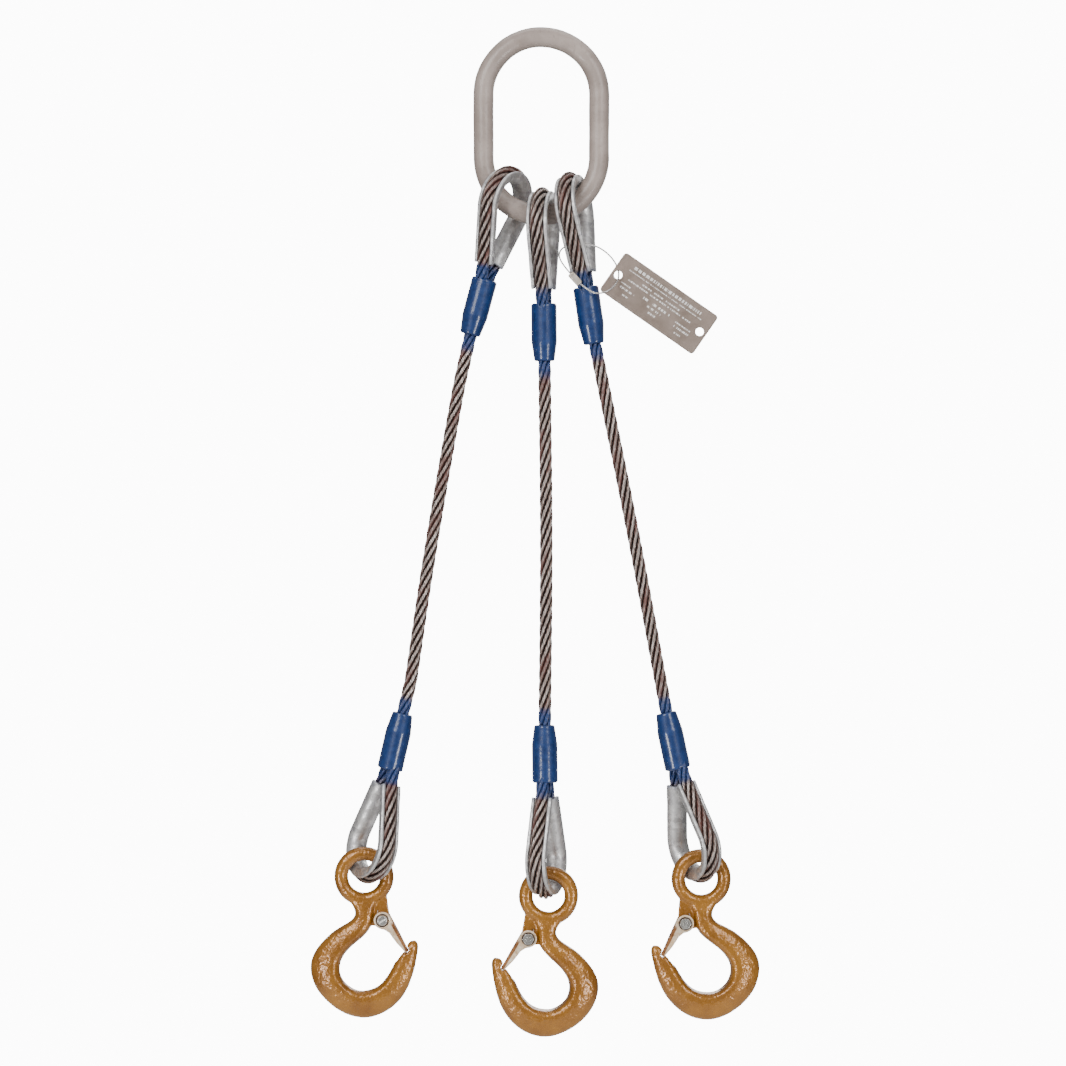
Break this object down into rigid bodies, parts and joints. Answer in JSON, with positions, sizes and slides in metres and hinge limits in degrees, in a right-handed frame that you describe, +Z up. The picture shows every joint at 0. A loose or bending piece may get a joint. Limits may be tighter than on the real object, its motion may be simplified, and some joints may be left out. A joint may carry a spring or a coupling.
{
  "type": "wire rope sling",
  "caption": "Bridle sling: steel rope legs with thimble eyes and swaged sleeves hang from an oblong link; each ends in an eye hook with a sprung latch, and a tag hangs on a cable.",
  "frame": {"origin": "inside top of the master link, where it bears on what holds it", "axes": "+Z up, with the sling hanging; X across the link's width, with the legs side by side along X; -Y is the front"},
  "size_m": [0.2807, 0.0468, 0.6312],
  "materials": {
    "link_paint": "thin warm grey paint, satin, over forged bar",
    "rope_steel": "oily dark drawn wires, worn bright on the crowns, rust-red in places",
    "galvanised_steel": "hot-dip galvanised, mottled silver",
    "ferrule_paint": "glossy blue enamel",
    "hook_paint": "gold-bronze enamel over forged steel, semi-gloss",
    "latch_zinc": "yellow zinc plate, worn",
    "bolt_zinc": "zinc plate",
    "spring_steel": "drawn spring wire",
    "tag_metal": "thin brushed plate, warm grey",
    "cable_steel": "fine bright strand",
    "crimp_metal": "pressed soft metal, dull"
  },
  "bodies": {
    "master_link": {"master_link": "link_paint"},
    "leg_left": {"left_rope": "rope_steel", "left_upper_thimble": "galvanised_steel", "left_lower_thimble": "galvanised_steel", "left_upper_ferrule": "ferrule_paint", "left_lower_ferrule": "ferrule_paint"},
    "leg_middle": {"middle_rope": "rope_steel", "middle_upper_thimble": "galvanised_steel", "middle_lower_thimble": "galvanised_steel", "middle_upper_ferrule": "ferrule_paint", "middle_lower_ferrule": "ferrule_paint"},
    "leg_right": {"right_rope": "rope_steel", "right_upper_thimble": "galvanised_steel", "right_lower_thimble": "galvanised_steel", "right_upper_ferrule": "ferrule_paint", "right_lower_ferrule": "ferrule_paint", "tag_cable": "cable_steel", "tag_crimp": "crimp_metal"},
    "hook_left": {"left_hook": "hook_paint", "left_latch_bolt": "bolt_zinc", "left_latch_nut": "bolt_zinc", "left_latch_spring": "spring_steel"},
    "latch_left": {"left_latch": "latch_zinc"},
    "hook_middle": {"middle_hook": "hook_paint", "middle_latch_bolt": "bolt_zinc", "middle_latch_nut": "bolt_zinc", "middle_latch_spring": "spring_steel"},
    "latch_middle": {"middle_latch": "latch_zinc"},
    "hook_right": {"right_hook": "hook_paint", "right_latch_bolt": "bolt_zinc", "right_latch_nut": "bolt_zinc", "right_latch_spring": "spring_steel"},
    "latch_right": {"right_latch": "latch_zinc"},
    "tag": {"tag": "tag_metal"}
  },
  "joints": [
    {"name": "leg_left_swing", "type": "hinge", "parent": "master_link", "child": "leg_left", "pos_m": [0, 0, -0.06875], "axis": [0, 1, 0], "range_deg": [0, 40]},
    {"name": "leg_middle_swing", "type": "hinge", "parent": "master_link", "child": "leg_middle", "pos_m": [0, 0, -0.10485], "axis": [1, 0, 0], "range_deg": [-30, 30]},
    {"name": "leg_right_swing", "type": "hinge", "parent": "master_link", "child": "leg_right", "pos_m": [0, 0, -0.06875], "axis": [0, -1, 0], "range_deg": [0, 40]},
    {"name": "hook_left_swing", "type": "hinge", "parent": "leg_left", "child": "hook_left", "pos_m": [-0.1108, 0, -0.5182], "axis": [0, 1, 0], "range_deg": [-45, 45]},
    {"name": "latch_left_hinge", "type": "hinge", "parent": "hook_left", "child": "latch_left", "pos_m": [-0.09918, 0, -0.54519], "axis": [0, 1, 0], "range_deg": [0, 45], "stiffness_Nm_per_rad": 0.02, "springref_deg": -34.38},
    {"name": "hook_middle_swing", "type": "hinge", "parent": "leg_middle", "child": "hook_middle", "pos_m": [0.0045, 0, -0.5302], "axis": [0, 1, 0], "range_deg": [-30, 30]},
    {"name": "latch_middle_hinge", "type": "hinge", "parent": "hook_middle", "child": "latch_middle", "pos_m": [-0.00815, 0, -0.55672], "axis": [0, -1, 0], "range_deg": [0, 45], "stiffness_Nm_per_rad": 0.02, "springref_deg": -34.38},
    {"name": "hook_right_swing", "type": "hinge", "parent": "leg_right", "child": "hook_right", "pos_m": [0.0999, 0, -0.5196], "axis": [0, 1, 0], "range_deg": [-45, 45]},
    {"name": "latch_right_hinge", "type": "hinge", "parent": "hook_right", "child": "latch_right", "pos_m": [0.0898, 0, -0.54719], "axis": [0, -1, 0], "range_deg": [0, 45], "stiffness_Nm_per_rad": 0.02, "springref_deg": -34.38},
    {"name": "tag_swing", "type": "hinge", "parent": "leg_right", "child": "tag", "pos_m": [0.04807, 0, -0.14236], "axis": [0, -1, 0], "range_deg": [0, 80]}
  ]
}
